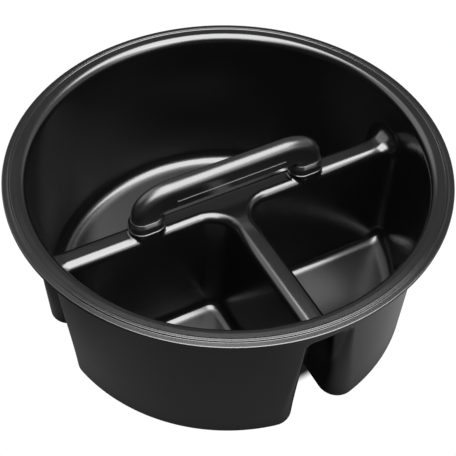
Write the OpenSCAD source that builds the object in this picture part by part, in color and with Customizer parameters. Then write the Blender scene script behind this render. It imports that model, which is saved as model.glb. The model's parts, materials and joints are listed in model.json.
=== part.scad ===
// Round cleaning caddy: one moulded tub with three wells and hollow
// dividers, and a bolted bow handle across the middle of the bar.
// Origin: centre of the resting plane. +Z up, bar along X, stem toward -Y.

/* [Tub] */
// Outside diameter of the rim flange
rim_d = 420; // [400:5:440]
// Height of the flat rim ring above the resting plane
rim_h = 176; // [170:1:182]
// Height of the top of the dividers above the resting plane
bar_h = 126.7; // [120:0.1:130]
// Wall thickness of the moulding
wall = 3.2; // [2.6:0.1:3.6]
// Draft of the outside of the round wall in degrees
wall_draft = 2.1; // [1.8:0.1:2.6]
// Draft of the inside of the round wall in degrees
well_draft = 2.9; // [2.6:0.1:3.2]
// Width of the rim flange, from the round wall to the outer edge
flange_w = 18.2; // [17:0.1:20]
// Thickness of the flange at its flat ring
flange_t = 4.2; // [3.6:0.1:4.8]
// Radius between the floor and the round wall inside a well
floor_r = 16; // [13:0.5:18]
// Radius between the floor and a divider inside a well
divider_r = 10; // [8:0.5:12]
// Radius around the underside of a well
foot_r = 6; // [5:0.5:7]

/* [Dividers] */
// Width of the bar between its top edges
bar_w = 24; // [22:0.5:26]
// Width of the stem between its top edges
stem_w = 23.6; // [21:0.2:25]
// Draft of the divider walls on the well side in degrees
div_draft = 5.9; // [5.4:0.1:6.3]
// Draft of the divider walls on the hollow side in degrees
hollow_draft = 3.7; // [3.4:0.1:4.2]
// Radius of the long top edges of the dividers
edge_r = 7.4; // [6:0.2:9]
// Corner radius where the stem meets the bar, at the top
tee_r_top = 25; // [18:1:30]
// Corner radius where the stem meets the bar, at the floor
tee_r_floor = 13; // [11:1:16]
// Corner radius where a divider meets the round wall, low down
end_r = 16; // [13:1:18]
// Corner radius where a divider meets the round wall, at the top
end_r_top = 16; // [12:0.5:18]
// Half width of the mouths where the hollow dividers open through the wall
mouth_w = 22.5; // [21:0.5:23]
// Corner radius of those mouths, seen from above
mouth_r = 5; // [4:0.5:7]

/* [Handle] */
// Distance between the centres of the two handle feet
foot_span = 173; // [165:1:180]
// Width of the grip
grip_w = 19; // [18:0.5:20]
// Height of the top of the grip above the resting plane
grip_top = 177; // [174:1:182]
// Length of each foot along the bar
foot_l = 29; // [27:0.5:31]
// Length of the flat underside of the grip
under_l = 120; // [112:1:122]
// Width of the band a collar adds around a foot
collar_t = 3.4; // [3:0.1:4]
// Height of a collar
collar_h = 11.5; // [10:0.5:13]
// Height of a foot boss above the bar
boss_h = 5; // [4:0.5:6]

/* [Fasteners] */
// Thread diameter of the handle screws
screw_d = 4.8; // [4:0.1:5]
// Length of the handle screws under the head
screw_l = 25; // [20:1:26]
// Outside diameter of the washers
washer_d = 15; // [13:0.5:16]
// Thickness of the washers
washer_t = 1.6; // [1.2:0.1:2]

/* [Hidden] */

// Rim
rim_r = rim_d / 2;
lip_drop = 9;              // from the rim down to where the round wall ends
lip_z = rim_h - lip_drop;
web_z = bar_h - wall;      // underside of the web that roofs the dividers

// Wells
mouth_draft = 1.4;         // degrees
end_blend_z = 60;          // divider end corners start to change radius here
mid_levels = [60, 92];     // loft levels between the floor and top radii
neck_gap = 0.12;           // keeps the lofts off the true cones of the neck
min_tee_corner = 2;
min_end_corner = 2.5;

// Collars and bosses
collar_l = foot_l + 2 * collar_t;
collar_w = grip_w + 2 * collar_t - 0.8;
boss_l = collar_l - 1;
boss_w = collar_w - 1;
boss_top = bar_h + boss_h;
boss_root = 24;            // depth of a boss below the top of the bar
core_root = 30;            // depth of its core below the top of the bar

// Handle
grip_r = grip_w / 2;
leg_rise = 3;              // from the top of a collar to the elbow
under_z = grip_top - 27;   // flat underside of the grip
seam_z = grip_top - 18;    // joint between shell and cover
cover_t = 2.2;

washer_z = boss_top - wall - washer_t;

// ---- Shared shapes ----

// Stadium of overall length l along X and width w
module stadium(l, w) {
    translate([-(l - w) / 2, 0]) circle(d = w, $fn = 64);
    translate([(l - w) / 2, 0]) circle(d = w, $fn = 64);
    square([l - w, w], center = true);
}

module at_feet() {
    for (side = [-1, 1]) translate([side * foot_span / 2, 0, 0]) children();
}

// Runs a section, drawn in Y and Z, along X over a centred length
module along(length) {
    translate([-length / 2, 0, 0]) rotate([90, 0, 90])
        linear_extrude(length) children();
}

// Closed solid through a stack of outlines, each [z, points]
module loft(layers) {
    count = len(layers[0][1]);
    levels = len(layers);
    points = [for (layer = layers) for (p = layer[1]) [p[0], p[1], layer[0]]];
    bottom = [for (i = [0 : count - 1]) i];
    top = [for (i = [count - 1 : -1 : 0]) (levels - 1) * count + i];
    sides = [for (k = [0 : levels - 2]) for (i = [0 : count - 1])
        let (j = (i + 1) % count, low = k * count, high = low + count)
        each [[low + i, high + i, high + j], [low + i, high + j, low + j]]];
    polyhedron(points, concat([bottom], [top], sides));
}

// ---- Sizes of the tub at height z ----

// Outer and inner radius of the round wall
function outer_r(z) = rim_r - flange_w - (lip_z - z) * tan(wall_draft);
function inner_r(z) = rim_r - flange_w - wall - (lip_z - z) * tan(well_draft);

// Half widths of bar and stem on the well side
function bar_half(z) = bar_w / 2 + (bar_h - z) * tan(div_draft);
function stem_half(z) = stem_w / 2 + (bar_h - z) * tan(div_draft);

// Half widths of the hollow under bar and stem, and of a mouth
function bar_hollow(z) = bar_w / 2 - wall + (web_z - z) * tan(hollow_draft);
function stem_hollow(z) = stem_w / 2 - wall + (web_z - z) * tan(hollow_draft);
function mouth_half(z) = mouth_w + (bar_h - z) * tan(mouth_draft);

// Corner radius at the round wall, eased from low down to the top
function end_corner(z) =
    let (t = max(0, min(1, (z - end_blend_z) / (bar_h - end_blend_z))))
    end_r + (end_r_top - end_r) * t * t * (3 - 2 * t);

// Corner radius of the tee
function tee_corner(z) =
    tee_r_floor + (tee_r_top - tee_r_floor) * (z - wall) / (bar_h - wall);

// Set-back of a fillet of radius r at height h above its flat
function setback(r, h) = h >= r ? 0 : r - sqrt(r * r - (r - h) * (r - h));

// ---- Well outlines ----

// Arc of n steps; skip leaves out that many points at each end
function arc(center, r, from, to, n, skip = 0) =
    [for (i = [skip : n - skip]) let (a = from + (to - from) * i / n)
        [center[0] + r * cos(a), center[1] + r * sin(a)]];

// Distance along a side to the centre of its corner at the round wall
function corner_reach(side, round_r, corner) =
    sqrt(pow(round_r - corner, 2) - pow(side + corner, 2));

// Outline of a quarter well: x > side_x, y > side_y, inside round_r
function quarter(side_x, side_y, round_r, tee, corner) =
    let (reach_x = corner_reach(side_y, round_r, corner),
         reach_y = corner_reach(side_x, round_r, corner),
         start = atan2(side_y + corner, reach_x),
         end = atan2(reach_y, side_x + corner))
    concat(arc([side_x + tee, side_y + tee], tee, 180, 270, 8),
           arc([reach_x, side_y + corner], corner, 270, 360 + start, 8),
           arc([0, 0], round_r, start, end, 22, skip = 1),
           arc([side_x + corner, reach_y], corner, end, 180, 8));

// Outline of the half-moon well: y > side_y, inside round_r
function halfmoon(side_y, round_r, corner) =
    let (reach = corner_reach(side_y, round_r, corner),
         start = atan2(side_y + corner, reach))
    concat(arc([reach, side_y + corner], corner, -90, start, 9),
           arc([0, 0], round_r, start, 180 - start, 48, skip = 1),
           arc([-reach, side_y + corner], corner, 180 - start, 270, 9));

// Places a quarter well on both sides of the stem
module beside_stem() {
    mirror([0, 1, 0]) children();
    rotate([0, 0, 180]) children();
}

// ---- Insides of the wells ----

cut_levels = concat([for (a = [0 : 15 : 90]) wall + floor_r * (1 - cos(a))],
    mid_levels,
    [for (a = [0 : 22.5 : 90]) bar_h - edge_r * (1 - sin(a))], [bar_h + 1]);

// How far the rounded top edge of a divider opens the well
function edge_flare(z) = z <= bar_h - edge_r ? 0
    : z > bar_h ? edge_r : setback(edge_r, bar_h - z);

// Insets of a well from the round wall and from a divider
function round_inset(z) = setback(floor_r, z - wall);
function side_inset(z) = setback(divider_r, z - wall) - edge_flare(z);

function cut_r(z) = inner_r(z) - round_inset(z) - neck_gap;
function cut_corner(z) =
    max(min_end_corner, end_corner(z) - (round_inset(z) + side_inset(z)) / 2);

module well_cuts() {
    loft([for (z = cut_levels)
        [z, halfmoon(bar_half(z) + side_inset(z), cut_r(z), cut_corner(z))]]);
    beside_stem() loft([for (z = cut_levels) let (inset = side_inset(z))
        [z, quarter(stem_half(z) + inset, bar_half(z) + inset, cut_r(z),
            max(min_tee_corner, tee_corner(z) - inset), cut_corner(z))]]);
}

// ---- Outsides of the wells ----

function foot_levels(step) =
    [for (a = [0 : step : 90]) foot_r * (1 - cos(a))];
skin_levels = concat(foot_levels(22.5), mid_levels, [web_z + 1]);
mouth_levels = concat(foot_levels(30), [web_z + 1]);

function foot_inset(z) = setback(foot_r, z);
function skin_r(z) = outer_r(z) - foot_inset(z) + neck_gap;
function skin_corner(z) = end_corner(z) + wall - foot_inset(z);
function mouth_side(z) = mouth_half(z) + foot_inset(z);
function mouth_corner(z) = mouth_r + 1 - foot_inset(z) / foot_r;

// Each well is the union of a loft to the divider hollows and one to the mouths
module well_skins() {
    loft([for (z = skin_levels)
        [z, halfmoon(bar_hollow(z) + foot_inset(z), skin_r(z), skin_corner(z))]]);
    loft([for (z = mouth_levels)
        [z, halfmoon(mouth_side(z), skin_r(z), mouth_corner(z))]]);
    beside_stem() {
        loft([for (z = skin_levels) let (inset = foot_inset(z))
            [z, quarter(stem_hollow(z) + inset, bar_hollow(z) + inset,
                skin_r(z), tee_corner(z) + wall - inset, skin_corner(z))]]);
        loft([for (z = mouth_levels)
            [z, quarter(mouth_side(z), mouth_side(z), skin_r(z),
                tee_corner(z), mouth_corner(z))]]);
    }
}

// ---- Tub ----

// Turn out of the wall: [out from the inner wall, up from lip_z]
lip_turn = [[0.5, 4.2], [1.1, 4.8], [2, 5.3]];

// Top of the flange, going outward, with two fine beads near its outer edge:
// [from rim_r, from rim_h]
crown = [
    [-13.2, -0.8], [-11.4, -0.2], [-9.6, 0],
    [-7.6, 0], [-7.2, 0.35], [-6.6, 0],
    [-6.1, -0.3], [-5.8, 0.45], [-5.1, 0.3], [-4.7, -0.8],
    [-0.9, -1.3], [-0.2, -1.8], [0, -2.6],
    [0, 0.6 - flange_t], [-0.6, -flange_t]];

// Section of the web that roofs the dividers, the neck and the rolled rim
module rim_section() {
    neck_start_z = lip_z + 3.3;
    roll_r = lip_drop - flange_t;
    web = [[0, web_z], [0, bar_h], [inner_r(bar_h), bar_h]];
    neck = [[inner_r(neck_start_z), neck_start_z]];
    turn = [for (p = lip_turn) [inner_r(lip_z) + p[0], lip_z + p[1]]];
    flange = [for (p = crown) [rim_r + p[0], rim_h + p[1]]];
    // from the seat under the flange down to the round wall
    roll = [for (a = [90 : -18 : 0])
        [outer_r(lip_z) + roll_r * (1 - cos(a)), lip_z + roll_r * sin(a)]];
    polygon(concat(web, neck, turn, flange, roll, [[outer_r(web_z), web_z]]));
}

// Solid blocks of the foot bosses, up to a height above the bar
module boss_blocks(above) {
    at_feet() translate([0, 0, bar_h - boss_root])
        linear_extrude(above + boss_root) stadium(boss_l, boss_w);
}

module tub() {
    color("#26282a") difference() {
        union() {
            well_skins();
            rotate_extrude($fn = 180) rim_section();
            boss_blocks(boss_h);
        }
        // the wells are cut around the bosses
        difference() {
            well_cuts();
            boss_blocks(boss_h + 6);
        }
        // core of each boss, open to the hollow divider
        at_feet() translate([0, 0, bar_h - core_root])
            linear_extrude(boss_h + core_root - wall)
                stadium(boss_l - 2 * wall, boss_w - 2 * wall);
        // screw holes
        at_feet() cylinder(h = boss_top + 1, d = screw_d + 0.4, $fn = 48);
    }
}

// ---- Handle ----

// Grip section across the bar: round top, flat underside
module grip_section(z_low) {
    translate([0, grip_top - grip_r]) circle(r = grip_r, $fn = 64);
    translate([-grip_r, z_low]) square([grip_w, grip_top - grip_r - z_low]);
}

// One elbow with the top of its leg, at the +X end
module elbow() {
    foot_x = foot_span / 2;
    leg_z = boss_top + collar_h + leg_rise;
    hull() {
        translate([foot_x, 0, leg_z])
            linear_extrude(0.6) stadium(foot_l, grip_w);
        for (a = [15 : 25 : 90])
            translate([foot_x - foot_l / 2 + (foot_l - grip_r) * cos(a), 0,
                       leg_z + (grip_top - grip_r - leg_z) * sin(a)])
                sphere(r = grip_r, $fn = 32);
        translate([under_l / 2 - 1, 0, 0]) rotate([90, 0, 90])
            linear_extrude(1) grip_section(under_z);
    }
}

module handle_shell() {
    seat_drop = 5;    // the cut for the cover starts this far below the grip
    axis_z = grip_top - grip_r;
    color("#2a2c2e") difference() {
        union() {
            elbow();
            mirror([1, 0, 0]) elbow();
            along(under_l - 1) grip_section(seam_z);
            at_feet() translate([0, 0, boss_top])
                linear_extrude(collar_h + leg_rise + 0.2)
                    stadium(foot_l, grip_w);
        }
        // seat for the cover
        along(under_l - 2.4) translate([-grip_w, under_z - seat_drop])
            square([2 * grip_w, seat_drop + seam_z - under_z]);
        // hollow of the grip
        along(under_l - 6) union() {
            translate([0, axis_z]) circle(r = grip_r - wall, $fn = 48);
            translate([-grip_r + wall, seam_z - 1])
                square([grip_w - 2 * wall, axis_z - seam_z + 1]);
        }
        // pilot holes for the screws
        at_feet() translate([0, 0, boss_top - 1])
            cylinder(h = screw_l - wall - washer_t + 2.5, d = screw_d + 0.1,
                     $fn = 48);
    }
}

// Tray that closes the grip from below: its rim stands proud of the shell
module grip_cover() {
    cover_l = under_l - 2.8;
    cover_h = seam_z - under_z;
    snap_l = 18;
    snap_t = 1.4;
    snap_y = grip_r - wall - 0.9;
    // +Y side of the section, going up: [y, height above the underside]
    profile = [
        [grip_r - 1.4, 0], [grip_r - 0.4, 0.5], [grip_r, 1.5],
        [grip_r, cover_h - 1.8], [grip_r + 0.5, cover_h - 1.4],
        [grip_r + 0.5, cover_h]];
    mirrored = [for (i = [len(profile) - 1 : -1 : 0])
        [-profile[i][0], profile[i][1]]];
    color("#1f2122") {
        difference() {
            along(cover_l) translate([0, under_z])
                polygon(concat(profile, mirrored));
            along(cover_l - 2 * cover_t)
                translate([-grip_r + wall, under_z + cover_t])
                    square([grip_w - 2 * wall, cover_h]);
        }
        // snap walls that grip the inside of the shell
        for (x = [-40, 0, 40]) for (side = [-1, 1])
            translate([x - snap_l / 2, side * snap_y - snap_t / 2,
                       under_z + cover_t - 0.2])
                cube([snap_l, snap_t, cover_h + 4]);
    }
}

// ---- Collars ----

// Band around a foot, stepping inward toward its top
module collar() {
    steps = 6;
    step_h = 0.65;
    taper_z = collar_h - steps * step_h;
    translate([0, 0, boss_top]) difference() {
        union() {
            // thin lip around the base
            linear_extrude(1.1) stadium(collar_l + 1.4, collar_w + 1.4);
            linear_extrude(taper_z + 0.1) stadium(collar_l, collar_w);
            for (i = [0 : steps - 1]) {
                narrowing = 0.4 + 0.8 * i;
                translate([0, 0, taper_z + step_h * i]) linear_extrude(step_h)
                    stadium(collar_l - narrowing, collar_w - narrowing);
            }
        }
        translate([0, 0, -1]) linear_extrude(collar_h + 2)
            stadium(foot_l + 0.3, grip_w + 0.3);
    }
}

module collar_left() {
    color("#242628") translate([-foot_span / 2, 0, 0]) collar();
}

module collar_right() {
    color("#242628") translate([foot_span / 2, 0, 0]) collar();
}

// ---- Fasteners ----

// Screws point up, with their heads below the washers
module handle_screws() {
    head_d = 9.4;
    head_face_d = 6.2;
    head_band_h = 1.2;
    head_cone_h = 2.2;
    tip_d = 1;
    tip_h = 3;
    color("#b9bcc0") at_feet() translate([0, 0, washer_z]) difference() {
        union() {
            translate([0, 0, -head_band_h])
                cylinder(h = head_band_h, d = head_d, $fn = 48);
            translate([0, 0, -head_band_h - head_cone_h])
                cylinder(h = head_cone_h, d1 = head_face_d, d2 = head_d, $fn = 48);
            cylinder(h = screw_l - tip_h, d = screw_d, $fn = 48);
            translate([0, 0, screw_l - tip_h])
                cylinder(h = tip_h, d1 = screw_d, d2 = tip_d, $fn = 48);
        }
        // cross recess
        for (a = [0, 90]) rotate([0, 0, a]) translate([0, 0, -3])
            cube([4.6, 1.1, 3.2], center = true);
    }
}

module screw_washers() {
    color("#c4c7ca") at_feet() translate([0, 0, washer_z]) difference() {
        cylinder(h = washer_t, d = washer_d, $fn = 64);
        translate([0, 0, -1])
            cylinder(h = washer_t + 2, d = screw_d + 0.5, $fn = 48);
    }
}

tub();
handle_shell();
grip_cover();
collar_left();
collar_right();
handle_screws();
screw_washers();
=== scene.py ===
"""Round black tub with three wells, a strap handle over its divider, and its studio.

The tub stands on z = 0 with its axis on Z. A hollow T-shaped divider splits it: the bar runs
along X and the stem runs from the bar toward -Y. The handle stands on the bar, its two feet at
-X and +X. Shapes are in millimetres and become metres in add_mesh; materials, camera and lights
are in metres.
"""
import json
import math
from itertools import product

import bpy
import numpy as np
from mathutils import Matrix, Vector

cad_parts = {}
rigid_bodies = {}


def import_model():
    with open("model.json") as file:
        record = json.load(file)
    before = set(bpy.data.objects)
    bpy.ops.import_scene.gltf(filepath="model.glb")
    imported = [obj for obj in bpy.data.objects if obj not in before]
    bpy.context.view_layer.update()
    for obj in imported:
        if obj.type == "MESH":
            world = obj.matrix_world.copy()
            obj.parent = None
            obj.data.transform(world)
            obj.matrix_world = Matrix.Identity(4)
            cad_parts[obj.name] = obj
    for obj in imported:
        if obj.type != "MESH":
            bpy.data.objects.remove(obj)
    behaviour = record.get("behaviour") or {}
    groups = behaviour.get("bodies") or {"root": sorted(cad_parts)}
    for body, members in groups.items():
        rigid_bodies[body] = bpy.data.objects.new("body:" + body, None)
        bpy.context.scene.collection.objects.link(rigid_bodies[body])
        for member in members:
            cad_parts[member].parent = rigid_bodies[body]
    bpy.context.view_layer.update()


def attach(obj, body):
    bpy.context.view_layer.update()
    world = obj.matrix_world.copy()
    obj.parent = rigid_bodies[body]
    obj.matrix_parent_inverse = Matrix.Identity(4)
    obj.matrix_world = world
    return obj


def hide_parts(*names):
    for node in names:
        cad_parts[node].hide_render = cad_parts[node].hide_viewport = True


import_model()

scene = bpy.context.scene

# ------------------------------------------------------------------ sizes, mm and degrees
RIM_RADIUS = 210.0
RIM_HEIGHT = 176.0
FLANGE_WIDTH = 18.2
FLANGE_THICK = 4.2
WALL = 3.2                            # walls, floor and divider skins
WALL_TOP = RIM_HEIGHT - 9.0           # where the tapered wall meets the rim
OUTER_DRAFT = 2.1
INNER_DRAFT = 2.9

BAR_TOP = 126.7                       # top of the dividers
BAR_WIDTH = 24.0                      # widths at the top, growing downward
STEM_WIDTH = 23.6
DIVIDER_DRAFT = 5.9
DIVIDER_EDGE = 8.4                    # rounding along the top of the dividers
HOLLOW_TOP = 131.5                    # upper limit of the mouths of the hollow dividers
MOUTH_RISE = (10.0, 128.0)            # heights between which the mouths widen

FOOT_X = 86.5                         # centre of each handle foot
FOOT_LENGTH = 29.0
GRIP_WIDTH = 19.0
GRIP_RADIUS = GRIP_WIDTH / 2
FOOT_INSIDE = FOOT_X - FOOT_LENGTH / 2
FOOT_OUTSIDE = FOOT_X + FOOT_LENGTH / 2
COLLAR_THICK = 3.4
COLLAR_HEIGHT = 11.5
BOSS_TOP = BAR_TOP + 5.0
GRIP_TOP = 177.0
GRIP_UNDER = GRIP_TOP - 27.0
GRIP_SEAM = GRIP_TOP - 18.0           # top of the cover plate
COVER_HALF = 58.6                     # half length of the cover plate

SPLICE_CUT = 150.0                    # the field surfaces are cut off here
SPLICE_RING = 152.0                   # the turned rim starts here


# ------------------------------------------------------------------ field tools
def tan_deg(angle):
    return math.tan(math.radians(angle))


def round_min(a, b, radius):
    """union of two fields with a fillet"""
    u = np.maximum(radius - a, 0)
    v = np.maximum(radius - b, 0)
    return np.maximum(radius, np.minimum(a, b)) - np.sqrt(u * u + v * v)


def round_max(a, b, radius):
    """intersection of two fields with a rounded edge"""
    return -round_min(-a, -b, radius)


def smooth_step(value, start, end):
    t = np.clip((value - start) / (end - start), 0, 1)
    return t * t * (3 - 2 * t)


def stadium(x, y, length, width):
    q = np.maximum(np.abs(x) - (length - width) / 2, 0)
    return np.sqrt(q * q + y * y) - width / 2


def gradient(field, points, step=0.05):
    result = np.empty_like(points)
    for axis in range(3):
        shift = np.zeros(3)
        shift[axis] = step
        before = points - shift
        after = points + shift
        rise = field(*after.T) - field(*before.T)
        result[:, axis] = rise / (2 * step)
    return result


def unit_normals(field, points, **options):
    result = gradient(field, points, **options)
    return result / np.maximum(np.linalg.norm(result, axis=1), 1e-9)[:, None]


def snap(field, points, rounds, longest=0.8):
    """Newton steps onto the zero set, each no longer than longest"""
    for _ in range(rounds):
        slope = gradient(field, points)
        value = field(*points.T)
        step = (value / np.maximum((slope * slope).sum(1), 0.2))[:, None] * slope
        size = np.sqrt((step * step).sum(1))[:, None]
        points = points - step * np.minimum(1, longest / np.maximum(size, 1e-9))
    return points


# ------------------------------------------------------------------ tub fields
def outer_radius(z):
    return RIM_RADIUS - FLANGE_WIDTH - (WALL_TOP - z) * tan_deg(OUTER_DRAFT)


def inner_radius(z):
    return RIM_RADIUS - FLANGE_WIDTH - WALL - (WALL_TOP - z) * tan_deg(INNER_DRAFT)


def junction_radius(z):
    """plan fillet where the stem meets the bar"""
    return 13 + 12 * np.clip((z - WALL) / (BAR_TOP - WALL), 0, 1)


def mouth_half_width(z):
    """half width of the mouth of a hollow divider in the round wall"""
    return 17.1 - 0.0227 * z + 8.2 * smooth_step(z, *MOUTH_RISE)


WALL_SLANT = math.cos(math.radians(INNER_DRAFT))       # radial gap to distance
DIVIDER_SLANT = math.cos(math.radians(DIVIDER_DRAFT))  # level gap to distance


def well_side(x, y, z):
    """negative in the material under and around the hollow of the wells"""
    spread = (BAR_TOP - z) * tan_deg(DIVIDER_DRAFT)
    bar = (np.abs(y) - (BAR_WIDTH / 2 + spread)) * DIVIDER_SLANT
    stem = (np.abs(x) - (STEM_WIDTH / 2 + spread)) * DIVIDER_SLANT
    divider = np.where(y < 0, round_min(bar, stem, junction_radius(z)), bar)
    floor = z - WALL
    divider = round_max(divider, z - BAR_TOP, DIVIDER_EDGE)
    divider = round_min(divider, floor, 9.5)
    ring = (inner_radius(z) - np.sqrt(x * x + y * y)) * WALL_SLANT
    ring = round_min(ring, floor, 16.0)
    # plan corner between divider and wall, tighter at the floor
    corner = 16 + 1.5 * smooth_step(z, 60., BAR_TOP)
    corner = corner * (0.30 + 0.70 * smooth_step(z, WALL, WALL + 22))
    body = round_min(divider, ring, corner)
    # two bosses on the bar, under the handle feet
    boss = stadium(np.abs(x) - FOOT_X, y, FOOT_LENGTH + 2 * COLLAR_THICK - 1,
                   GRIP_WIDTH + 2 * COLLAR_THICK - 1.8)
    boss = round_max(boss, z - BOSS_TOP, 0.8)
    boss = round_max(boss, BAR_TOP - 24 - z, 0.8)
    return round_min(body, boss, 1.6)


def skin_side(x, y, z):
    """negative in the material, seen from the outside and from inside the hollow dividers"""
    radius = np.sqrt(x * x + y * y)
    # dividers keep the wall thickness; square mouths open through the round wall
    skin = -well_side(x, y, z) - WALL + 0.9 * smooth_step(radius, 150, 180)
    half = mouth_half_width(z)
    mouth = half - np.abs(y)
    mouth = np.where(y < 0, round_max(mouth, half - np.abs(x), junction_radius(z)), mouth)
    body = round_min(round_min(mouth, HOLLOW_TOP - z, 6.0), skin, 2.0)
    cone = (radius - outer_radius(z)) * WALL_SLANT
    body = round_max(body, cone, 24.0 - 20.0 * smooth_step(z, *MOUTH_RISE))
    return round_max(body, -z, 6.0)


# ------------------------------------------------------------------ meshing
def surface_nets(field, low, cells_along, cell):
    """vertices and quads of the zero set over a grid, normals out of the negative side"""
    shape = [count + 1 for count in cells_along]
    grid = [low[a] + cell * np.arange(shape[a]) for a in range(3)]
    values = np.empty(shape, np.float32)
    X, Y = np.meshgrid(grid[0], grid[1], indexing="ij")
    for k in range(shape[2]):
        values[:, :, k] = field(X, Y, np.full_like(X, grid[2][k]))
    inside = values < 0

    # cells crossed by the surface
    count = np.zeros(cells_along, np.int8)
    for i, j, k in product((0, 1), repeat=3):
        count += inside[i:shape[0] - 1 + i, j:shape[1] - 1 + j, k:shape[2] - 1 + k]
    active = (count > 0) & (count < 8)
    index = -np.ones(active.shape, np.int64)
    cells = np.argwhere(active)
    index[active] = np.arange(len(cells))
    corner = {}
    for i, j, k in product((0, 1), repeat=3):
        found = values[cells[:, 0] + i, cells[:, 1] + j, cells[:, 2] + k]
        corner[i, j, k] = found.astype(float)

    # one vertex per cell, at the mean of the crossings on its edges
    total = np.zeros((len(cells), 3))
    hits = np.zeros(len(cells))
    for axis in range(3):
        others = [a for a in range(3) if a != axis]
        for u, v in product((0, 1), repeat=2):
            start = [0, 0, 0]
            start[others[0]] = u
            start[others[1]] = v
            end = list(start)
            end[axis] = 1
            f0, f1 = corner[tuple(start)], corner[tuple(end)]
            crossed = (f0 < 0) != (f1 < 0)
            place = np.tile(np.array(start, float), (len(cells), 1))
            place[:, axis] = np.where(crossed, f0 / np.where(crossed, f0 - f1, 1), 0)
            total[crossed] += place[crossed]
            hits[crossed] += 1
    verts = (cells + total / hits[:, None]) * cell + np.array(low)

    # one quad around every crossed grid edge
    quads = []
    for axis, b, c in ((0, 1, 2), (1, 2, 0), (2, 0, 1)):
        lower = [slice(None)] * 3
        upper = [slice(None)] * 3
        lower[axis] = slice(0, -1)
        upper[axis] = slice(1, None)
        first = inside[tuple(lower)]
        edges = np.argwhere(first != inside[tuple(upper)])
        kept = (edges[:, b] > 0) & (edges[:, b] < shape[b] - 1)
        kept &= (edges[:, c] > 0) & (edges[:, c] < shape[c] - 1)
        edges = edges[kept]
        flip = ~first[edges[:, 0], edges[:, 1], edges[:, 2]]
        around = []
        for step_b, step_c in ((-1, -1), (0, -1), (0, 0), (-1, 0)):
            near = edges.copy()
            near[:, b] += step_b
            near[:, c] += step_c
            around.append(index[near[:, 0], near[:, 1], near[:, 2]])
        quad = np.stack(around, 1)
        quad[flip] = quad[flip][:, ::-1]
        quads.append(quad)
    return verts, np.concatenate(quads)


def relax(field, verts, quads, fixed, rounds):
    """even out the quads by sliding vertices along the surface"""
    size = len(verts)
    for _ in range(rounds):
        total = np.zeros_like(verts)
        count = np.zeros(size)
        for i in range(4):
            a, b = quads[:, i], quads[:, (i + 1) % 4]
            for k in range(3):
                total[:, k] += (np.bincount(a, verts[b, k], size)
                                + np.bincount(b, verts[a, k], size))
            count += np.bincount(a, minlength=size) + np.bincount(b, minlength=size)
        normal = unit_normals(field, verts)
        move = total / np.maximum(count, 1)[:, None] - verts
        move -= (move * normal).sum(1)[:, None] * normal
        move[fixed] = 0
        verts = snap(field, verts + 0.5 * move, 1)
    return verts


def open_loop(quads, vert_count):
    """the open edge of a quad sheet, as vertex indices in walking order"""
    a = quads.ravel()
    b = np.roll(quads, -1, 1).ravel()
    free = ~np.isin(a * vert_count + b, b * vert_count + a)
    following = dict(zip(a[free].tolist(), b[free].tolist()))
    start = next(iter(following))
    loop = [start]
    current = following[start]
    while current != start:
        loop.append(current)
        current = following[current]
    return loop


def loop_angles(points):
    return np.unwrap(np.arctan2(points[:, 1], points[:, 0]))


def zipper(loop_a, points_a, loop_b, points_b):
    """triangles between two loops, both sorted by growing angle"""
    turn = 2 * math.pi
    A = loop_angles(points_a)
    B = loop_angles(points_b)
    count_a, count_b = len(loop_a), len(loop_b)
    # start the second loop beside the first
    first = int(np.argmin(np.abs(((B - A[0] + math.pi) % turn) - math.pi)))
    loop_b = list(loop_b[first:]) + list(loop_b[:first])
    B = np.concatenate([B[first:], B[:first] + turn])
    B = B - round((B[0] - A[0]) / turn) * turn
    A = np.append(A, A[0] + turn)
    B = np.append(B, B[0] + turn)
    triangles = []
    i = j = 0
    while i < count_a or j < count_b:
        if j >= count_b or (i < count_a and A[i + 1] <= B[j + 1]):
            triangles.append((loop_a[i], loop_a[(i + 1) % count_a], loop_b[j % count_b]))
            i += 1
        else:
            triangles.append((loop_a[i % count_a], loop_b[(j + 1) % count_b], loop_b[j]))
            j += 1
    return triangles


def round_corners(corners, step):
    """polyline through (a, b, rounding radius) rows, arcs cut about every step"""
    points = np.array(corners, float)[:, :2]
    out = [points[0]]
    for i in range(1, len(points) - 1):
        p = points[i]
        to_last, to_next = points[i - 1] - p, points[i + 1] - p
        length_last, length_next = np.linalg.norm(to_last), np.linalg.norm(to_next)
        to_last /= length_last
        to_next /= length_next
        angle = math.acos(max(-1, min(1, float(to_last @ to_next))))
        if angle > math.pi - 0.02:
            out.append(p)
            continue
        trim = min(corners[i][2] / math.tan(angle / 2), 0.49 * length_last, 0.49 * length_next)
        radius = trim * math.tan(angle / 2)
        bisector = (to_last + to_next) / np.linalg.norm(to_last + to_next)
        centre = p + bisector * (radius / math.sin(angle / 2))
        start = p + to_last * trim - centre
        end = p + to_next * trim - centre
        start_angle = math.atan2(start[1], start[0])
        sweep = math.atan2(end[1], end[0]) - start_angle
        sweep = (sweep + math.pi) % (2 * math.pi) - math.pi
        pieces = max(3, int(abs(sweep) * radius / step) + 1, int(abs(sweep) / 0.26) + 1)
        for k in range(pieces + 1):
            t = start_angle + sweep * k / pieces
            out.append(centre + radius * np.array([math.cos(t), math.sin(t)]))
    out.append(points[-1])
    return np.array(out)


def near_ends(points, inset=0.2, long_run=1.0):
    """extra points close to both ends of every long straight run, so its shading stays flat"""
    out = [points[0]]
    for i, (a, b) in enumerate(zip(points[:-1], points[1:])):
        length = np.linalg.norm(b - a)
        if 0 < i < len(points) - 2 and length > long_run:
            out += [a + (b - a) * inset / length, b - (b - a) * inset / length]
        out.append(b)
    return np.array(out)


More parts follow.
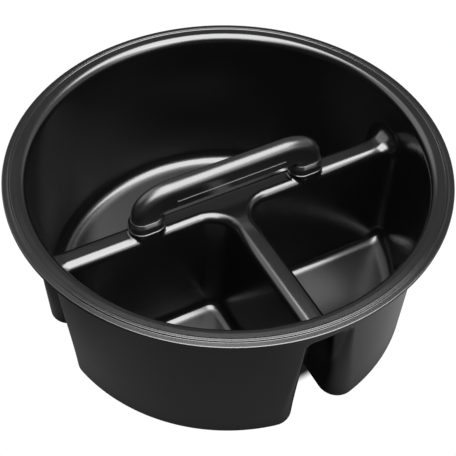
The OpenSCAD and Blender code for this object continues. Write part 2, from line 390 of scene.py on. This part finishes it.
def add_mesh(name, verts, faces, material, normals=None):
    """smooth shaded object from millimetre vertices"""
    mesh = bpy.data.meshes.new(name)
    mesh.from_pydata((np.asarray(verts) * 0.001).tolist(), [],
                     [list(map(int, face)) for face in faces])
    mesh.update()
    mesh.polygons.foreach_set("use_smooth", [True] * len(mesh.polygons))
    if normals is not None:
        mesh.normals_split_custom_set_from_vertices(normals.tolist())
    ob = bpy.data.objects.new(name, mesh)
    scene.collection.objects.link(ob)
    mesh.materials.append(material)
    return ob


def facing_out(verts, faces):
    """the faces, flipped if the solid is inside out"""
    volume = 0.0
    for face in faces:
        p = verts[list(face)]
        for i in range(1, len(face) - 1):
            volume += np.dot(p[0], np.cross(p[i], p[i + 1]))
    return faces if volume > 0 else [face[::-1] for face in faces]


def add_solid(name, rows, material, ring=False):
    """solid through rows of section points, closed on itself (ring) or capped at both ends"""
    rows = np.array(rows)
    count, size = rows.shape[:2]
    faces = []
    for i in range(count if ring else count - 1):
        i2 = (i + 1) % count
        for j in range(size):
            j2 = (j + 1) % size
            faces.append((i * size + j, i * size + j2, i2 * size + j2, i2 * size + j))
    if not ring:
        faces.append(tuple(range(size))[::-1])
        faces.append(tuple((count - 1) * size + j for j in range(size)))
    verts = rows.reshape(-1, 3)
    ob = add_mesh(name, verts, facing_out(verts, faces), material)
    ob.data.set_sharp_from_angle(angle=math.radians(38))
    return ob


# ------------------------------------------------------------------ tub
# outset from the rim radius, height from the rim height, rounding;
# two raised beads on the flat ring, then the flange edge
FLANGE_CORNERS = [
    (-8.2, -0.1, 1.0), (-7.7, 0.35, 0.35), (-6.9, 0.35, 0.35), (-6.6, -0.15, 0.25),
    (-6.2, -0.15, 0.25), (-5.9, 0.45, 0.4), (-5.0, 0.4, 0.4), (-4.5, -0.85, 0.45),
    (0.6, -0.95, 0.9), (0.6, -FLANGE_THICK + 0.1, 0.6), (-0.3, -FLANGE_THICK, 0.5),
]
ROLL_ANGLES = (84, 74, 64, 54, 44, 34, 24, 14, 5)
ROLL_WIDTH, ROLL_HEIGHT = 8.6, 9.6       # semi-axes of the inner lip


def rim_profile():
    """(radius, z) from the inner wall, over the rim, down to the outer wall"""
    corners = [(inner_radius(SPLICE_CUT), SPLICE_CUT, 0), (inner_radius(160.), 160.0, 9.0)]
    # inner lip: an elliptic roll from the flat ring down into the wall
    for angle in map(math.radians, ROLL_ANGLES):
        corners.append((RIM_RADIUS - 12.6 - ROLL_WIDTH * math.sin(angle),
                        RIM_HEIGHT - 0.1 - ROLL_HEIGHT * (1 - math.cos(angle)), 9.0))
    corners += [(RIM_RADIUS + outset, RIM_HEIGHT + rise, rounding)
                for outset, rise, rounding in FLANGE_CORNERS]
    corners += [(outer_radius(WALL_TOP) + 4.8, RIM_HEIGHT - FLANGE_THICK, 2.5),
                (outer_radius(WALL_TOP) + 0.1, WALL_TOP - 0.4, 4.0),
                (outer_radius(SPLICE_CUT), SPLICE_CUT, 0)]
    return near_ends(round_corners(corners, step=0.25))


def profile_normals(profile):
    run = np.diff(profile, axis=0)
    run = run / np.linalg.norm(run, axis=1)[:, None]
    tangent = np.zeros_like(profile)
    tangent[:-1] += run
    tangent[1:] += run
    normal = np.stack([-tangent[:, 1], tangent[:, 0]], 1)
    return normal / np.linalg.norm(normal, axis=1)[:, None]


def spin(pairs, angles):
    """(radius, z) pairs turned round the axis, one row of points per pair"""
    out = np.empty((len(pairs), len(angles), 3))
    out[:, :, 0] = pairs[:, :1] * np.cos(angles)
    out[:, :, 1] = pairs[:, :1] * np.sin(angles)
    out[:, :, 2] = pairs[:, 1:]
    return out.reshape(-1, 3)


def field_sheet(field, bottom, cell):
    """one side of the tub below the splice: vertices, normals, quads and the open loop"""
    low_x, low_y = -200.3, -200.1
    levels = int(math.ceil((SPLICE_CUT - bottom) / cell))
    across = int(math.ceil(400.6 / cell))
    low = (low_x, low_y, SPLICE_CUT - levels * cell)
    verts, quads = surface_nets(field, low, (across, across, levels), cell)
    verts = snap(field, verts, 3)
    loop = open_loop(quads, len(verts))
    fixed = np.zeros(len(verts), bool)
    fixed[loop] = True
    verts = relax(field, verts, quads, fixed, 4)
    verts = snap(field, verts, 2)
    return verts, unit_normals(field, verts, step=0.15), quads, loop


def splice(verts, loop, ring, facing):
    """triangles between a sheet's loop and a rim ring; facing is 1 away from the axis, -1 to it"""
    angles = loop_angles(verts[loop])
    if angles[-1] < angles[0]:
        loop = loop[::-1]
    triangles = np.array(zipper(loop, verts[loop], ring, verts[ring]))
    p = verts[triangles]
    face_normals = np.cross(p[:, 1] - p[:, 0], p[:, 2] - p[:, 0])
    outward = p.mean(1)
    outward[:, 2] = 0
    if np.sign((face_normals * outward).sum(1).mean()) * facing < 0:
        triangles = triangles[:, ::-1]
    return triangles.tolist()


def make_tub(material):
    cell = 1.9
    verts, normals, faces, loops = [], [], [], []
    base = 0
    for field, bottom in ((well_side, 1.0), (skin_side, -2.0)):
        points, point_normals, quads, loop = field_sheet(field, bottom, cell)
        verts.append(points)
        normals.append(point_normals)
        faces += (quads + base).tolist()
        loops.append([i + base for i in loop])
        base += len(points)

    profile = rim_profile()
    rim_normals = profile_normals(profile)
    # lift both end rings a little so the splice has a band of its own
    profile[0] = (inner_radius(SPLICE_RING), SPLICE_RING)
    profile[-1] = (outer_radius(SPLICE_RING), SPLICE_RING)
    around = 640
    angles = np.arange(around) * 2 * math.pi / around
    verts.append(spin(profile, angles))
    normals.append(spin(rim_normals, angles))
    last = len(profile) - 1
    for i in range(last):
        row = base + i * around
        for j in range(around):
            j2 = (j + 1) % around
            faces.append((row + j, row + around + j, row + around + j2, row + j2))

    verts = np.concatenate(verts)
    for loop, row, facing in ((loops[0], 0, -1), (loops[1], last, 1)):
        ring = [base + row * around + j for j in range(around)]
        faces += splice(verts, loop, ring, facing)
    return add_mesh("tub_body", verts, faces, material, np.concatenate(normals))


# ------------------------------------------------------------------ handle
UNDER_CORNER = 1.6                    # rounding along the underside of the grip
INNER_CURVE = (11.5, 7.5)             # semi-axes in x and z of the bend, underside
OUTER_CURVE = (41.0, 29.0)            # and top side
BEND_STEPS = 34
RECESS = 8.8                          # depth of the pocket for the cover plate
LEG_HEIGHTS = (0.2, 3, 6, 9)          # section heights of the leg above the boss


def handle_section(inner, outer, corner):
    """section from an inner to an outer (x, z) point: round outside, flat inside"""
    inner = np.array(inner, float)
    outer = np.array(outer, float)
    r = GRIP_RADIUS
    depth = np.linalg.norm(outer - inner)
    along = (outer - inner) / depth
    origin = inner + along * r
    corner = min(corner, r - 0.4)
    crown = depth - r - r             # centre of the round side
    side = -r + corner                # end of the straight side
    half = []                         # (toward outer, across), on the +Y side
    for i in range(1, 15):
        a = math.pi / 2 * i / 14
        half.append((crown + r * math.cos(a), r * math.sin(a)))
    for i in range(1, 5):
        half.append((crown + (side - crown) * i / 5, r))
    for i in range(9):
        a = math.pi / 2 * i / 8
        half.append((side - corner * math.sin(a), (r - corner) + corner * math.cos(a)))
    for i in range(1, 4):
        half.append((-r, (r - corner) * (1 - i / 4)))
    mirrored = [(u, -v) for u, v in half[::-1]]
    outline = np.array([(depth - r, 0.0)] + half + [(-r, 0.0)] + mirrored)
    return np.stack([origin[0] + outline[:, 0] * along[0], outline[:, 1],
                     origin[1] + outline[:, 0] * along[1]], 1)


def make_handle(material):
    inner_x = FOOT_INSIDE - INNER_CURVE[0]        # where the bend ends on the underside
    inner_z = GRIP_UNDER - INNER_CURVE[1]
    outer_x = FOOT_OUTSIDE - OUTER_CURVE[0]       # and on the top side
    outer_z = GRIP_TOP - OUTER_CURVE[1]
    rows = []
    for rise in LEG_HEIGHTS:
        z = BOSS_TOP + rise
        rows.append(handle_section((FOOT_INSIDE, z), (FOOT_OUTSIDE, z), GRIP_RADIUS))
    for i in range(BEND_STEPS + 1):
        a = math.pi / 2 * i / BEND_STEPS
        inner = (inner_x + INNER_CURVE[0] * math.cos(a), inner_z + INNER_CURVE[1] * math.sin(a))
        outer = (outer_x + OUTER_CURVE[0] * math.cos(a), outer_z + OUTER_CURVE[1] * math.sin(a))
        blend = smooth_step(i / BEND_STEPS, 0, 1)
        rows.append(handle_section(inner, outer,
                                   GRIP_RADIUS + (UNDER_CORNER - GRIP_RADIUS) * blend))
    # x and lift of the underside: the step into the cover pocket, then on to the middle
    stations = [(inner_x - 0.6, 0.0), (COVER_HALF + 0.55, 0.0), (COVER_HALF + 0.35, 0.15),
                (COVER_HALF + 0.25, 0.5), (COVER_HALF + 0.2, RECESS)]
    stations += [(x, RECESS) for x in (50, 40, 30, 20, 10, 0)]
    for x, lift in stations:
        lean = (outer_x - inner_x) * max(0, (x - 20) / (inner_x - 20))
        rows.append(handle_section((x, GRIP_UNDER + lift), (x + lean, GRIP_TOP), UNDER_CORNER))
    right = np.array(rows)
    left = right[:-1][::-1] * np.array([-1, 1, 1])
    return add_solid("handle_body", np.concatenate([right, left]), material)


# outset from the foot, height above the boss, rounding; around the ring section
COLLAR_CORNERS = [
    (0.15, 0.0, 0), (3.9, 0.0, 0.2), (4.15, 0.25, 0.2), (4.15, 0.75, 0.3), (3.75, 1.15, 0.3),
    (COLLAR_THICK, 1.25, 0.3), (COLLAR_THICK, COLLAR_HEIGHT - 3.9, 2.2),
    (1.0, COLLAR_HEIGHT, 0.5), (0.15, COLLAR_HEIGHT - 0.2, 0.25), (0.15, 0.0, 0),
]
COLLAR_CAP_STEPS = 28


def make_collar(name, centre_x, material):
    """ring around a handle foot"""
    half_run = (FOOT_LENGTH - GRIP_WIDTH) / 2
    outline, outward = [], []
    for cap_x, start in ((half_run, -90), (-half_run, 90)):
        for i in range(COLLAR_CAP_STEPS + 1):
            a = math.radians(start + 180 * i / COLLAR_CAP_STEPS)
            outline.append((cap_x + GRIP_RADIUS * math.cos(a), GRIP_RADIUS * math.sin(a)))
            outward.append((math.cos(a), math.sin(a)))
    outline = np.array(outline)
    outward = np.array(outward)
    rows = []
    for outset, z in round_corners(COLLAR_CORNERS, step=0.3)[:-1]:
        p = outline + outward * outset
        rows.append(np.stack([centre_x + p[:, 0], p[:, 1], np.full(len(p), BOSS_TOP + z)], 1))
    return add_solid(name, rows, material, ring=True)


# distance from the end of the plate, inset of the section
COVER_ENDS = [(0, 0.75), (0.12, 0.35), (0.45, 0.1), (1.0, 0.0)]


def make_cover(material):
    """plate under the grip: a rounded box with a proud edge along its top"""
    half_width = GRIP_RADIUS + 0.5
    bottom = GRIP_UNDER
    top = GRIP_SEAM + 0.1
    middle = (bottom + top) / 2
    # y, z, rounding, on the +Y side
    section = round_corners([
        (0, bottom, 0), (half_width - 0.7, bottom, 1.6), (half_width - 0.3, top - 0.75, 0.3),
        (half_width, top - 0.6, 0.2), (half_width, top - 0.15, 0.35),
        (half_width - 0.9, top + 0.05, 0.3), (0, top, 0)], step=0.2)
    outline = np.concatenate([section, section[1:-1][::-1] * np.array([-1, 1])])
    stations = [(-COVER_HALF + gap, inset) for gap, inset in COVER_ENDS]
    stations += [(x, 0) for x in np.linspace(-COVER_HALF + 3, COVER_HALF - 3, 24)]
    stations += [(COVER_HALF - gap, inset) for gap, inset in COVER_ENDS[::-1]]
    rows = []
    for x, inset in stations:
        y = np.sign(outline[:, 0]) * np.maximum(np.abs(outline[:, 0]) - inset, 0)
        z = middle + (outline[:, 1] - middle) * (1 - inset / 9.0)
        rows.append(np.stack([np.full(len(y), x), y, z], 1))
    return add_solid("grip_plate", rows, material)


# ------------------------------------------------------------------ shader tools
def add_node(tree, kind, inputs=None, **properties):
    """node with its properties set and its inputs linked (sockets) or filled (values)"""
    node = tree.nodes.new("ShaderNode" + kind)
    for name, value in properties.items():
        setattr(node, name, value)
    for key, value in (inputs or {}).items():
        if isinstance(value, bpy.types.NodeSocket):
            tree.links.new(value, node.inputs[key])
        else:
            node.inputs[key].default_value = value
    return node


def noise(tree, vector, **settings):
    return add_node(tree, "TexNoise", {"Vector": vector, **settings}).outputs["Fac"]


def calc(tree, operation, *values, clamp=False):
    node = add_node(tree, "Math", dict(enumerate(values)), operation=operation, use_clamp=clamp)
    return node.outputs[0]


def map_range(tree, value, source=(0, 1), target=(0, 1), curve="LINEAR"):
    node = add_node(tree, "MapRange", {
        "Value": value, "From Min": source[0], "From Max": source[1],
        "To Min": target[0], "To Max": target[1]}, interpolation_type=curve)
    return node.outputs[0]


def threshold(tree, value, start, end):
    """black up to start, white from end"""
    node = add_node(tree, "ValToRGB", {0: value})
    node.color_ramp.elements[0].position = start
    node.color_ramp.elements[1].position = end
    return node.outputs[0]


def mix_colour(tree, factor, first, second):
    node = add_node(tree, "Mix", {"Factor": factor, "A": first, "B": second}, data_type="RGBA")
    return node.outputs["Result"]


def dot(tree, vector, direction):
    node = add_node(tree, "VectorMath", {0: vector, 1: tuple(direction)},
                    operation="DOT_PRODUCT")
    return node.outputs["Value"]


def camera_switch(tree, lighting, seen):
    """one shader lights the scene, the other is what the camera sees"""
    camera_ray = add_node(tree, "LightPath").outputs["Is Camera Ray"]
    return add_node(tree, "MixShader", {0: camera_ray, 1: lighting, 2: seen}).outputs[0]


def new_material(name):
    material = bpy.data.materials.new(name)
    material.use_nodes = True
    return material


# ------------------------------------------------------------------ materials
def plastic(name, dark, light, roughness, roughness_spread, grain, waviness, wear):
    """moulded plastic; grain and waviness are bump distances in metres"""
    material = new_material(name)
    tree = material.node_tree
    tree.nodes.clear()
    place = add_node(tree, "TexCoord").outputs["Object"]

    # tone drift in the moulding
    drift = noise(tree, place, Scale=9, Detail=5)
    colour = mix_colour(tree, drift, (*dark, 1), (*light, 1))

    # scuffs: stretched noise lines
    stretched = add_node(tree, "Mapping", {
        "Vector": place, "Scale": (1, 1, 14), "Rotation": (0.5, 0.3, 0.7)}).outputs[0]
    streaks = noise(tree, stretched, Scale=55, Detail=7, Roughness=0.62)
    streaks = threshold(tree, streaks, start=0.66, end=0.78)
    scuffs = calc(tree, "MULTIPLY", streaks, 0.35 * wear)

    # worn convex edges
    geometry = add_node(tree, "NewGeometry")
    edges = threshold(tree, geometry.outputs["Pointiness"], start=0.53, end=0.60)
    edges = calc(tree, "MULTIPLY", calc(tree, "MULTIPLY", edges, drift), wear)
    worn = calc(tree, "ADD", edges, scuffs, clamp=True)
    worn_colour = (*(channel * 1.9 for channel in light), 1)
    colour = mix_colour(tree, worn, colour, worn_colour)

    # level faces close to z = 3.2 mm, the well floors, are rougher
    height = add_node(tree, "SeparateXYZ", {0: place}).outputs["Z"]
    upward = add_node(tree, "SeparateXYZ", {0: geometry.outputs["True Normal"]}).outputs["Z"]
    is_low = map_range(tree, height, source=(0.0033, 0.0038), target=(1, 0))
    is_level = map_range(tree, upward, source=(0.98, 0.998))
    is_floor = calc(tree, "MULTIPLY", is_low, is_level)
    rough = map_range(tree, drift, source=(0.3, 0.7),
                      target=(roughness - roughness_spread, roughness + roughness_spread))
    rough = calc(tree, "MULTIPLY_ADD", worn, 0.12, rough, clamp=True)
    rough = calc(tree, "MULTIPLY_ADD", is_floor, 0.34, rough, clamp=True)

    # bump: slow moulding waviness under fine grain
    waves = add_node(tree, "Bump", {
        "Strength": 1.0, "Distance": waviness,
        "Height": noise(tree, place, Scale=14, Detail=2)}).outputs[0]
    bump = add_node(tree, "Bump", {
        "Strength": 1.0, "Distance": grain, "Normal": waves,
        "Height": noise(tree, place, Scale=900, Detail=3)}).outputs[0]

    shader = add_node(tree, "BsdfPrincipled", {
        "Base Color": colour, "Roughness": rough, "IOR": 1.5, "Normal": bump})
    add_node(tree, "OutputMaterial", {0: shader.outputs[0]})
    return material


def zinc(name, dark, light):
    """brushed metal, its noise drawn out across Z"""
    material = new_material(name)
    tree = material.node_tree
    shader = tree.nodes["Principled BSDF"]
    place = add_node(tree, "TexCoord").outputs["Object"]
    stretched = add_node(tree, "Mapping", {"Vector": place, "Scale": (1, 1, 30)}).outputs[0]
    brushing = noise(tree, stretched, Scale=420, Detail=5)
    bump = add_node(tree, "Bump", {"Distance": 0.00004, "Height": brushing}).outputs[0]
    shader.inputs["Metallic"].default_value = 1
    for socket, key in (
            (mix_colour(tree, brushing, (*dark, 1), (*light, 1)), "Base Color"),
            (map_range(tree, brushing, target=(0.22, 0.46)), "Roughness"),
            (bump, "Normal")):
        tree.links.new(socket, shader.inputs[key])
    return material


TUB_BLACK = plastic(
    "tub_black", dark=(0.0006, 0.0006, 0.0006), light=(0.0011, 0.0011, 0.0011),
    roughness=0.21, roughness_spread=0.03, grain=0.000010, waviness=0.00015, wear=0.35)
HANDLE_BLACK = plastic(
    "handle_black", dark=(0.0018, 0.0018, 0.0019), light=(0.0028, 0.0028, 0.0029),
    roughness=0.28, roughness_spread=0.03, grain=0.000024, waviness=0.00005, wear=0.35)
COVER_BLACK = plastic(
    "cover_black", dark=(0.0016, 0.0016, 0.0016), light=(0.0024, 0.0024, 0.0024),
    roughness=0.33, roughness_spread=0.04, grain=0.00002, waviness=0.00005, wear=0.4)
COLLAR_BLACK = plastic(
    "collar_black", dark=(0.0022, 0.0022, 0.0022), light=(0.0032, 0.0032, 0.0032),
    roughness=0.20, roughness_spread=0.03, grain=0.000012, waviness=0.00004, wear=0.4)
SCREW_ZINC = zinc("screw_zinc", dark=(0.50, 0.51, 0.53), light=(0.62, 0.63, 0.65))
WASHER_ZINC = zinc("washer_zinc", dark=(0.52, 0.53, 0.54), light=(0.66, 0.67, 0.68))


# ------------------------------------------------------------------ pieces
def register(ob, cad_piece):
    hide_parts(cad_piece)
    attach(ob, "root")


register(make_tub(TUB_BLACK), "tub")

handle = make_handle(HANDLE_BLACK)
cover = make_cover(COVER_BLACK)
collar_left = make_collar("collar_ring_left", -FOOT_X, COLLAR_BLACK)
collar_right = make_collar("collar_ring_right", FOOT_X, COLLAR_BLACK)
register(handle, "handle_shell")
register(cover, "grip_cover")
register(collar_left, "collar_left")
register(collar_right, "collar_right")

# screws and washers keep their CAD meshes
for ob in scene.objects:
    for piece, material in (("handle_screws", SCREW_ZINC), ("screw_washers", WASHER_ZINC)):
        if ob.type == "MESH" and piece in ob.name:
            ob.data.materials.clear()
            ob.data.materials.append(material)

# ------------------------------------------------------------------ camera, metres and radians
CAMERA_ELEVATION = 0.843456
CAMERA_AZIMUTH = 0.508664             # from -Y toward -X
CAMERA_ROLL = 0.028843
CAMERA_LENS = 79.934671               # mm, on a 36 mm sensor
CAMERA_PIVOT = Vector((0, 0, 0.175))
# from the pivot, along the unrolled camera's right, up and back
CAMERA_OFFSET = Vector((0.00101979818, -0.0611990877, 0.949990712))

# level directions the studio is laid out in
VIEW = Vector((-math.sin(CAMERA_AZIMUTH), -math.cos(CAMERA_AZIMUTH), 0))   # toward the viewer
SIDE = Vector((math.cos(CAMERA_AZIMUTH), -math.sin(CAMERA_AZIMUTH), 0))    # viewer's right
UP = Vector((0, 0, 1))


def make_camera():
    sin_e, cos_e = math.sin(CAMERA_ELEVATION), math.cos(CAMERA_ELEVATION)
    sin_r, cos_r = math.sin(CAMERA_ROLL), math.cos(CAMERA_ROLL)
    tilt = Matrix(((1, 0, 0), (0, sin_e, cos_e), (0, -cos_e, sin_e)))
    roll = Matrix(((cos_r, sin_r, 0), (-sin_r, cos_r, 0), (0, 0, 1)))
    turn = Matrix.Rotation(-CAMERA_AZIMUTH, 3, 'Z')
    location = turn @ (tilt.transposed() @ CAMERA_OFFSET) + CAMERA_PIVOT
    rotation = turn @ (roll @ tilt).transposed()
    data = bpy.data.cameras.new("cam")
    data.sensor_width = 36.0
    data.sensor_fit = 'HORIZONTAL'
    data.lens = CAMERA_LENS
    data.clip_start = 0.05
    data.clip_end = 50
    camera = bpy.data.objects.new("cam", data)
    scene.collection.objects.link(camera)
    camera.matrix_world = Matrix.Translation(location) @ rotation.to_4x4()
    scene.camera = camera


# ------------------------------------------------------------------ world, floor, lights
def make_world():
    """white to the camera; soft bright patches in a dark room to everything else"""
    world = bpy.data.worlds.new("studio")
    scene.world = world
    world.use_nodes = True
    tree = world.node_tree
    tree.nodes.clear()
    ray = add_node(tree, "TexCoord").outputs["Generated"]
    # direction of the patch, cosines where it starts and is full, strength
    patches = (
        (-VIEW, (0.25, 0.62), 0.35),
        (SIDE, (0.42, 0.75), 1.0),
        ((-SIDE * 0.70 - VIEW * 0.36 + UP * 0.60).normalized(), (0.85, 0.95), 2.6),
        ((SIDE * 0.66 + VIEW * 0.56 + UP * 0.50).normalized(), (0.93, 0.97), 5.0),
    )
    total = None
    for direction, cosines, strength in patches:
        patch = map_range(tree, dot(tree, ray, direction), source=cosines,
                          target=(0.0, strength), curve="SMOOTHSTEP")
        total = calc(tree, "ADD", total, patch) if total else patch
    # dimmed below the horizon, over a faint fill
    above = map_range(tree, dot(tree, ray, UP), source=(-0.02, 0.12), target=(0.15, 1.0),
                      curve="SMOOTHSTEP")
    strength = calc(tree, "ADD", calc(tree, "MULTIPLY", total, above), 0.03)
    white = (1, 1, 1, 1)
    lighting = add_node(tree, "Background", {"Color": white, "Strength": strength})
    seen = add_node(tree, "Background", {"Color": white, "Strength": 1})
    shader = camera_switch(tree, lighting.outputs[0], seen.outputs[0])
    add_node(tree, "OutputWorld", {0: shader})


def make_floor():
    """glowing floor: even white to the camera with a painted shadow under the tub; as a light,
    painted shade near the tub
    """
    material = new_material("studio_floor")
    tree = material.node_tree
    tree.nodes.clear()
    place = add_node(tree, "TexCoord").outputs["Object"]
    distance = add_node(tree, "VectorMath", {0: place}, operation="LENGTH").outputs["Value"]
    rightward = dot(tree, place, SIDE)

    def fade(value, source, target):
        return map_range(tree, value, source, target, curve="SMOOTHSTEP")

    # what the camera sees: the even white floor, with a painted shadow inside the tub's outline
    seen = fade(distance, source=(0.139, 0.149), target=(0.012, 1.02))
    # as a light the floor is brighter on the right and fades out on the left: a painted pool of
    # light on the right and painted shade on the left
    painted_light_right = fade(rightward, source=(0.07, 0.32), target=(0.45, 1.15))
    painted_shade_left = fade(rightward, source=(-0.28, -0.14), target=(0.3, 1.0))
    # as a light the floor's glow is dimmed close to the tub: painted shade, seen in reflections on
    # the lower outer walls
    lighting = calc(tree, "MULTIPLY",
                    fade(distance, source=(0.165, 0.20), target=(0.03, 0.47)),
                    calc(tree, "MULTIPLY", painted_light_right, painted_shade_left))
    shader = camera_switch(tree,
                           add_node(tree, "Emission", {"Strength": lighting}).outputs[0],
                           add_node(tree, "Emission", {"Strength": seen}).outputs[0])
    add_node(tree, "OutputMaterial", {0: shader})

    mesh = bpy.data.meshes.new("floor")
    mesh.from_pydata([(-4, -4, 0), (4, -4, 0), (4, 4, 0), (-4, 4, 0)], [], [(0, 1, 2, 3)])
    mesh.materials.append(material)
    floor = bpy.data.objects.new("floor", mesh)
    scene.collection.objects.link(floor)


def overhead_sheet(name, angles, width, height, radiance, side):
    """level sheet facing down, between two angles off vertical toward the viewer"""
    near, far = (height * tan_deg(angle) for angle in angles)
    depth = far - near
    data = bpy.data.lights.new(name, 'AREA')
    data.shape = 'RECTANGLE'
    data.size = width
    data.size_y = depth
    data.energy = radiance * math.pi * width * depth
    light = bpy.data.objects.new(name, data)
    scene.collection.objects.link(light)
    centre = VIEW * ((near + far) / 2) + SIDE * side + UP * height
    axes = Matrix((SIDE, -VIEW, UP)).transposed()
    light.matrix_world = Matrix.Translation(centre) @ axes.to_4x4()
    light.visible_camera = False


make_camera()
make_world()
make_floor()
overhead_sheet("overhead", angles=(-18, 43), width=1.70, height=1.5, radiance=14.5, side=0.38)
overhead_sheet("overhead_soft", angles=(-22, 54), width=2.3, height=1.52, radiance=4.0,
               side=0.40)

scene.view_settings.view_transform = 'Standard'
scene.view_settings.look = 'None'
